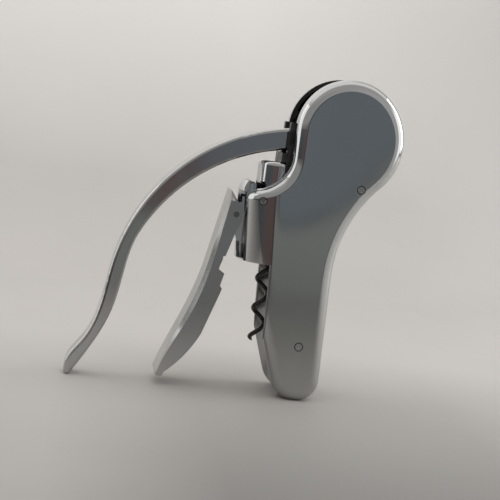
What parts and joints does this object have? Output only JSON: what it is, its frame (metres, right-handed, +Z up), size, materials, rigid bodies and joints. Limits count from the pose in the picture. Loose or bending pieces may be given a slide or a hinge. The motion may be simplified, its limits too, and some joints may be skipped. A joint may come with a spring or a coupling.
{
  "type": "lever corkscrew",
  "caption": "Lever corkscrew with a rounded split handle, an arched lever that drives a forked rack, a turning wire worm and a hinged clamp grip for the bottle's neck.",
  "frame": {"origin": "centre of the barrel's mouth, on the worm's axis, at the level of the mouth's edge", "axes": "+Z up along the worm's axis, away from the bottle; +X to the fixed handle; +Y to the far shell"},
  "size_m": [0.1522, 0.0374, 0.1602],
  "materials": {
    "shell_chrome": "polished",
    "lever_chrome": "polished",
    "mirror_chrome": "polished",
    "grip_satin": "satin",
    "screw_steel": "satin",
    "dark_steel": "satin",
    "worm_black": "satin",
    "nut_plastic": "satin",
    "bush_bronze": "satin"
  },
  "bodies": {
    "housing": {"near_housing_shell": "shell_chrome", "far_housing_shell": "shell_chrome", "housing_screws": "screw_steel", "barrel": "mirror_chrome", "barrel_pins": "screw_steel", "worm_nut": "nut_plastic", "nut_retaining_ring": "dark_steel", "pivot_axle": "dark_steel", "pivot_washers": "nut_plastic", "hinge_pin": "screw_steel"},
    "lever": {"lever_arm": "lever_chrome", "near_sector_gear": "dark_steel", "far_sector_gear": "dark_steel", "gear_pins": "dark_steel"},
    "carriage": {"carriage_plunger": "mirror_chrome", "rack": "dark_steel", "rack_screws": "screw_steel", "worm_bush": "bush_bronze"},
    "worm": {"worm": "worm_black", "worm_spindle": "dark_steel", "thrust_washers": "bush_bronze"},
    "grip": {"clamp_grip": "grip_satin"}
  },
  "joints": [
    {"name": "lever_swing", "type": "hinge", "parent": "housing", "child": "lever", "pos_m": [0.0306, 0, 0.06759], "axis": [0, 1, 0], "range_deg": [-4, 115]},
    {"name": "carriage_slide", "type": "slide", "parent": "housing", "child": "carriage", "axis": [0, 0, 1], "range_m": [-0.00154, 0.04416]},
    {"name": "worm_spin", "type": "hinge", "parent": "carriage", "child": "worm", "pos_m": [0, 0, 0.013], "axis": [0, 0, 1], "range_deg": [-36.19, 1039.03]},
    {"name": "grip_swing", "type": "hinge", "parent": "housing", "child": "grip", "pos_m": [-0.01913, 0, 0.0222], "axis": [0, -1, 0], "range_deg": [-2, 18]}
  ],
  "couplings": [
    {"joint": "carriage_slide", "follows": "lever_swing", "m_per_rad": 0.022},
    {"joint": "worm_spin", "follows": "lever_swing", "ratio": 9.0346}
  ]
}
